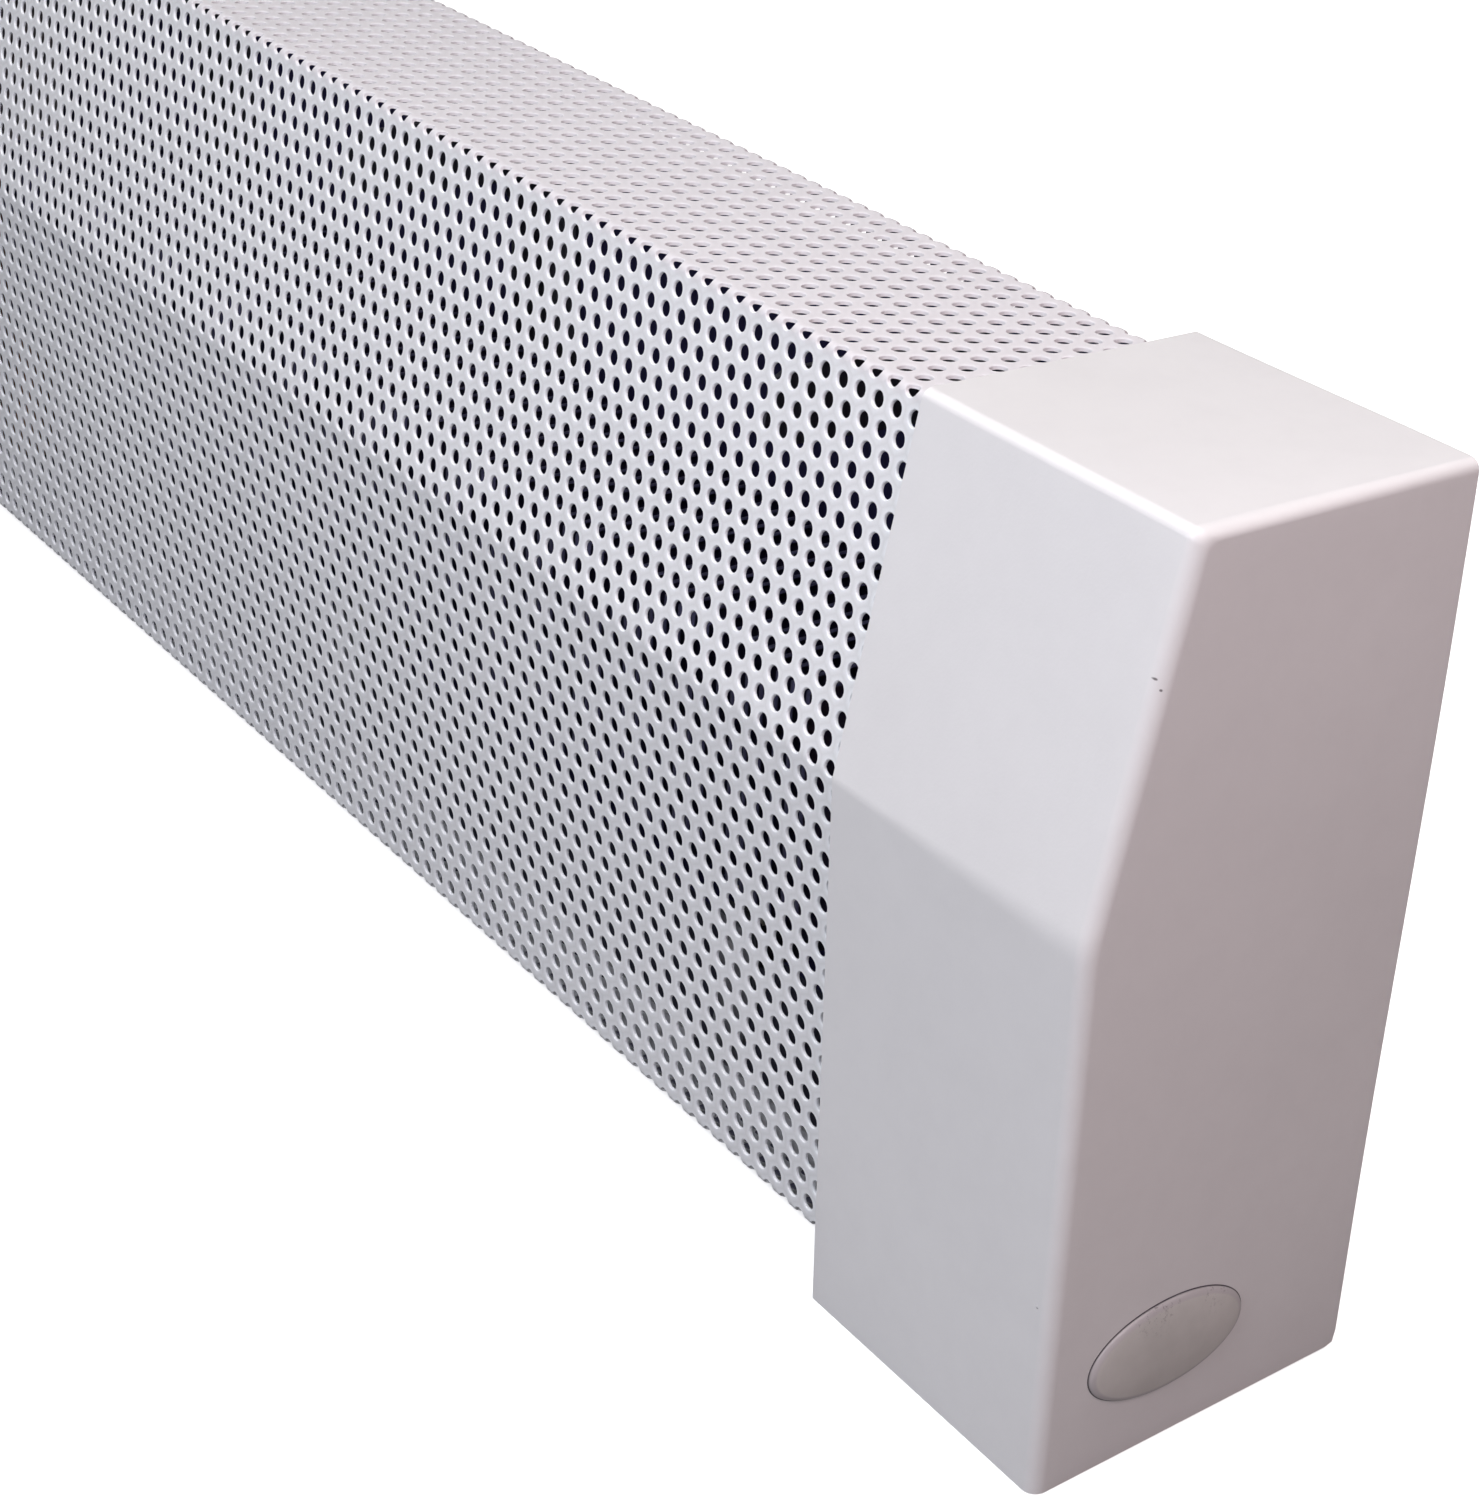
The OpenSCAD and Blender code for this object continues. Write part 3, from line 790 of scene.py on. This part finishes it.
def build_cap(name, sign):
    grid = cap_rings()
    w = smoothstep((grid[..., 0] - X_IN) / (X_OUT - X_IN))
    grid[..., 0] += cap_warp(grid[..., 1], grid[..., 2], w)
    grid[..., 2] += cap_rise(grid[..., 1], grid[..., 2], w)
    grid[..., 0] *= sign
    draft = bmesh.new()
    rings = [[draft.verts.new(Vector(point) * MM) for point in ring] for ring in grid]
    for here, there in zip(rings, rings[1:]):
        for k in range(len(here) - 1):
            quad = [here[k], there[k], there[k + 1], here[k + 1]]
            draft.faces.new(quad[::-1] if sign > 0 else quad)
    bmesh.ops.remove_doubles(draft, verts=draft.verts, dist=2e-6)
    bmesh.ops.dissolve_degenerate(draft, edges=draft.edges, dist=1e-6)
    bmesh.ops.recalc_face_normals(draft, faces=draft.faces)
    # the outside must look outwards
    top = [face for face in draft.faces if face.calc_center_median().z > (HEIGHT - 0.5) * MM]
    if sum(face.normal.z for face in top) < 0:
        bmesh.ops.reverse_faces(draft, faces=draft.faces)
    for face in draft.faces:
        face.smooth = True
    return finished_mesh(draft, name)


def add_cap(side, sign):
    name = side + "_cap_shell"
    cap = new_part(name, build_cap(name, sign), side + "_cap", side + "_end_cap", "cap_plastic")
    wall = cap.modifiers.new("wall", "SOLIDIFY")
    wall.thickness = CAP_WALL * MM
    wall.offset = -1
    wall.use_even_offset = True
    soften = cap.modifiers.new("soften", "BEVEL")
    soften.width = 0.35 * MM
    soften.segments = 2
    soften.limit_method = "ANGLE"
    soften.angle_limit = math.radians(50)
    soften.harden_normals = False
    cap.modifiers.new("normals", "WEIGHTED_NORMAL").keep_sharp = True


add_cap("right", 1)
add_cap("left", -1)


# --------------------------------------------------------------------------- #
# the blank oval badge on the right cap's end
# --------------------------------------------------------------------------- #
BADGE_POINTS = 96
BADGE_RIM = [
    # distance in from the edge, height above the cap (mm), painted shadow line, painted reflection
    # band
    (0.0, -0.8, 1.0, 0.0), (0.0, 0.06, 1.0, 0.0), (0.10, 0.10, 1.0, 0.0), (0.22, 0.12, 0.8, 0.2),
    (0.30, 0.34, 0.0, 1.0), (0.48, 0.62, 0.0, 1.0), (0.80, 0.88, 0.0, 1.0),
    (1.25, 1.08, 0.0, 1.0), (1.55, 1.17, 0.0, 0.5), (1.80, 1.23, 0.0, 0.0),
]
DOME_STEPS = 15


def build_badge():
    low, high = box_mm("badge")
    middle_y, middle_z = (low[1] + high[1]) / 2, (low[2] + high[2]) / 2
    half_y, half_z = (high[1] - low[1]) / 2, (high[2] - low[2]) / 2
    peak = high[0] - low[0] - 0.1
    # stations: half width, half height, height above the cap, painted shadow line, painted reflection
    # band
    stations = [(half_y - inset, half_z - inset, *rest) for inset, *rest in BADGE_RIM]
    dome_y, dome_z, dome_foot = stations[-1][:3]
    for step in range(1, DOME_STEPS):
        share = 1 - step / DOME_STEPS
        height = dome_foot + (peak - dome_foot) * (1 - share ** 2)
        stations.append((dome_y * share, dome_z * share, height, 0.0, 0.0))
    draft = bmesh.new()
    foot_shadow_layer, reflection_band_layer, top_layer = (draft.verts.layers.float.new(name)
                                           for name in ("foot_shadow", "band", "top"))

    def add_vertex(y, z, height, foot_shadow, pale):
        x = X_OUT + height + cap_warp(y, z, 1.0)
        vertex = draft.verts.new((x * MM, y * MM, z * MM))
        vertex[foot_shadow_layer], vertex[reflection_band_layer] = foot_shadow, pale
        vertex[top_layer] = min(1.0, max(0.0, (z - middle_z) / half_z * 1.6 - 0.35))
        return vertex

    angles = [TAU * k / BADGE_POINTS for k in range(BADGE_POINTS)]
    rings = [[add_vertex(middle_y + wide * math.cos(a), middle_z + tall * math.sin(a), *rest)
              for a in angles] for wide, tall, *rest in stations]
    tip = add_vertex(middle_y, middle_z, peak, 0.0, 0.0)
    join_rings(draft, rings)
    for k in range(BADGE_POINTS):
        draft.faces.new([rings[-1][k], rings[-1][(k + 1) % BADGE_POINTS], tip])
    draft.faces.new(rings[0][::-1])
    bmesh.ops.recalc_face_normals(draft, faces=draft.faces)
    for face in draft.faces:
        face.smooth = len(face.verts) < 10      # all but the flat underside
    return finished_mesh(draft, "oval_badge")


new_part("oval_badge", build_badge(), "right_cap", "badge", "badge_metal")


# --------------------------------------------------------------------------- #
# the fins: thin pressed plates with a drawn collar, a raised ring and a folded lip
# --------------------------------------------------------------------------- #
FIN_COUNT = 80
FIN_POINTS = 48
FIN_PLATE = 0.4                    # thickness allowed for the plate at the row's start
COLLAR = 2.2                       # the collar stands out this far along X
LIP_ROOM = 0.35                    # room for the lip's own thickness
COLLAR_STATIONS = [                # distance out from the tube, standing-out along X
    (0.02, COLLAR), (0.30, COLLAR), (0.42, 0.9), (0.75, 0.30), (1.4, 0.0),
]
PLATE_STATIONS = [                 # share of the way from collar to outline, standing-out
    (0.25, 0.0), (0.38, 0.55), (0.50, 0.0), (0.75, 0.0), (0.93, 0.0), (1.0, 0.35),
]


def build_fins():
    low, high = box_mm("fins")
    tube_low, tube_high = box_mm("element_tube")
    middle_y, middle_z = (tube_low[1] + tube_high[1]) / 2, (tube_low[2] + tube_high[2]) / 2
    tube_r = (tube_high[2] - tube_low[2]) / 2
    half_y, half_z = (high[1] - low[1]) / 2 - LIP_ROOM, (high[2] - low[2]) / 2 - LIP_ROOM
    first = low[0] + FIN_PLATE / 2
    pitch = (high[0] - low[0] - FIN_PLATE / 2 - COLLAR) / (FIN_COUNT - 1)
    turns = [TAU * (k + 0.5) / FIN_POINTS for k in range(FIN_POINTS)]
    spokes = [(math.cos(a), math.sin(a)) for a in turns]
    outline = [min(half_y / max(abs(c), 1e-6), half_z / max(abs(s), 1e-6)) for c, s in spokes]

    # each ring: radius at every spoke, and standing-out along X
    rings = [([tube_r + out] * FIN_POINTS, stand) for out, stand in COLLAR_STATIONS]
    foot = rings[-1][0][0]
    rings += [([foot + (edge - foot) * share for edge in outline], stand)
              for share, stand in PLATE_STATIONS]
    rings.append(([radius * 0.999 for radius in rings[-1][0]], 1.7))     # lip folded along X

    rng = np.random.default_rng(7)
    draft = bmesh.new()
    for i in range(FIN_COUNT):
        x = first + pitch * i
        lean = rng.normal(0, 0.12)          # no two fins stand quite alike
        fin = []
        for radii, stand in rings:
            points = [(radius * c, radius * s) for radius, (c, s) in zip(radii, spokes)]
            fin.append([draft.verts.new(((x + stand + lean * z / half_z) * MM,
                                         (middle_y + y) * MM, (middle_z + z) * MM))
                        for y, z in points])
        join_rings(draft, fin)
    for face in draft.faces:
        face.smooth = True
    return finished_mesh(draft, "pressed_fins")


fins = new_part("pressed_fins", build_fins(), "element", "fins", "fin_aluminium")
sheet = fins.modifiers.new("sheet", "SOLIDIFY")
sheet.thickness = 0.25 * MM
sheet.offset = 1


# --------------------------------------------------------------------------- #
# the remaining CAD pieces get their finish
# --------------------------------------------------------------------------- #
slot_of = {part["node"]: part["material_slot"] for part in frame["record"]["subparts"]}
for node, obj in frame["nodes"].items():
    finish = MATS[slot_of[node]]
    if not obj.data.materials:
        obj.data.materials.append(finish)
    for material_slot in obj.material_slots:
        material_slot.link = "OBJECT"
        material_slot.material = finish


# --------------------------------------------------------------------------- #
# stage, light, camera (metres)
# --------------------------------------------------------------------------- #
FLOOR_BOUNCE = 0.22                # grey that the floor shows to everything but the camera
FLOOR_GLOW = 0.80                  # emission near the heater, seen by the camera only
WORLD_LIGHT = 0.045                # world strength for everything but the camera


def floor_paper():
    """Nearly white to the camera, while what it throws back at the heater is kept low."""
    mat = Mat("floor_paper")
    seen = mat.node("LightPath").outputs["Is Camera Ray"]
    tone = mat.ramp(mat.noise(scale=3, detail=3), (0.93, 0.93, 0.93), (0.95, 0.95, 0.95))
    # painted shade: dark and without glow right under the heater
    x, y, _ = mat.axes()
    under = mat.times(mat.span(mat.math("ABSOLUTE", x), (0.334, 0.340), to=(1.0, 0.0)),
                      mat.times(mat.span(y, (-0.0735, -0.068)),
                                mat.span(y, (0.0, 0.003), to=(1.0, 0.0))))
    tone = mat.mix(under, tone, (0.10, 0.10, 0.14))
    clear = mat.times(seen, mat.math("SUBTRACT", 1.0, under))
    mat.colour(mat.mix(seen, (FLOOR_BOUNCE,) * 3, tone))
    mat.put("Roughness", 0.85)
    mat.put("Specular IOR Level", 0.1)
    mat.put("Emission Color", (1.0, 1.0, 1.0))
    # further out the paper fades into the white surround
    away = mat.math("SQRT", mat.math("ADD", mat.times(x, x), mat.times(y, y)))
    glow = mat.span(away, (0.45, 1.6), to=(FLOOR_GLOW, 1.02), smooth=True)
    # in front of the heater it is a shade greyer, so that the white top stands out behind
    ahead = mat.math("ADD", y, mat.times(x, 0.383))
    ahead = mat.times(mat.span(ahead, (-0.60, -0.25), to=(1.0, 0.0), smooth=True),
                      mat.span(away, (1.2, 3.0), to=(1.0, 0.0), smooth=True))
    glow = mat.times(glow, mat.span(ahead, (0.0, 1.0), to=(1.0, 0.70)))
    mat.put("Emission Strength", mat.times(clear, glow))
    return mat.material


def build_stage():
    """A pale floor that curves up far behind the heater."""
    steps = 24
    front_y, far_y, radius, half_width, top_z = -6.0, 2.2, 1.2, 7.0, 6.0
    angles = [k * math.pi / 2 / steps for k in range(1, steps + 1)]
    section = [(front_y, 0.0), (far_y - radius, 0.0)]
    section += [(far_y - radius + radius * math.sin(a), radius - radius * math.cos(a))
                for a in angles]
    section.append((far_y, top_z))
    draft = bmesh.new()
    left, right = [[draft.verts.new((x, y, z)) for y, z in section]
                   for x in (-half_width, half_width)]
    for i in range(len(section) - 1):
        draft.faces.new([right[i], right[i + 1], left[i + 1], left[i]])
    for face in draft.faces:
        face.smooth = True
    mesh = finished_mesh(draft, "stage_floor")
    floor = link_object("stage_floor", mesh)
    mesh.materials.append(floor_paper())
    floor.location.z = -0.0003


def build_world():
    """White to the camera, dim as a light."""
    world = bpy.data.worlds.new("studio")
    bpy.context.scene.world = world
    world.use_nodes = True
    tree = world.node_tree
    background = tree.nodes["Background"]
    background.inputs["Color"].default_value = (1.0, 1.0, 1.0, 1.0)
    seen = tree.nodes.new("ShaderNodeLightPath").outputs["Is Camera Ray"]
    strength = tree.nodes.new("ShaderNodeMapRange")
    strength.inputs["To Min"].default_value = WORLD_LIGHT
    strength.inputs["To Max"].default_value = 1.0
    tree.links.new(seen, strength.inputs["Value"])
    tree.links.new(strength.outputs["Result"], background.inputs["Strength"])


LIGHTS = [
    # name, place, aimed at, side, power in watts, colour, seen in reflections
    ("key_above", (0.2, -0.25, 1.25), (0.15, -0.05, 0.1), 0.8, 9.85, (1.003, 1.009, 0.988), True),
    ("key_front", (0.45, -0.95, 0.75), (0.25, 0, 0.12), 0.6, 2.0, (0.945, 0.974, 1.081), True),
    ("key_front_matt", (0.45, -0.951, 0.75), (0.25, 0, 0.12), 0.6, 3.15, (0.945, 0.974, 1.081),
     False),
    ("low_left", (-0.7, -1.65, 0.45), (0.15, 0, 0.1), 0.45, 4.05, (0.963, 0.972, 1.065), True),
    ("ridge_soft", (-0.82, -0.60, 1.15), (0.2, -0.05, 0.2), 0.85, 1.6, (1.0, 0.98, 1.0), True),
    ("side_warm", (0.95, -0.1, 0.75), (0.35, 0, 0.12), 0.45, 3.42, (1.146, 0.919, 0.936), False),
    ("rear_fill", (-1.1, 1.5, 0.30), (0.0, 0, 0.1), 0.6, 7.0, (1.0, 1.0, 1.0), False),
]


def add_light(name, place, target, side, power, colour, glossy):
    data = bpy.data.lights.new(name, "AREA")
    data.shape = "RECTANGLE"
    data.size = data.size_y = side
    data.energy = power
    data.color = colour
    lamp = link_object(name, data)
    lamp.location = place
    aim = Vector(target) - Vector(place)
    lamp.rotation_euler = aim.to_track_quat("-Z", "Y").to_euler()
    lamp.visible_glossy = glossy


def add_camera():
    data = bpy.data.cameras.new("camera")
    camera = link_object("camera", data)
    camera.location = (0.76009, -0.44890, 0.45286)
    angles = (62.703287, -1.700032, 56.593672)      # degrees
    camera.rotation_euler = Euler([math.radians(a) for a in angles], "XYZ")
    data.sensor_width = 36.0
    data.lens = 79.370
    data.clip_start, data.clip_end = 0.02, 50.0
    bpy.context.scene.camera = camera


build_stage()
build_world()
for light in LIGHTS:
    add_light(*light)
add_camera()
bpy.context.scene.view_settings.view_transform = "Standard"
bpy.context.scene.view_settings.look = "None"
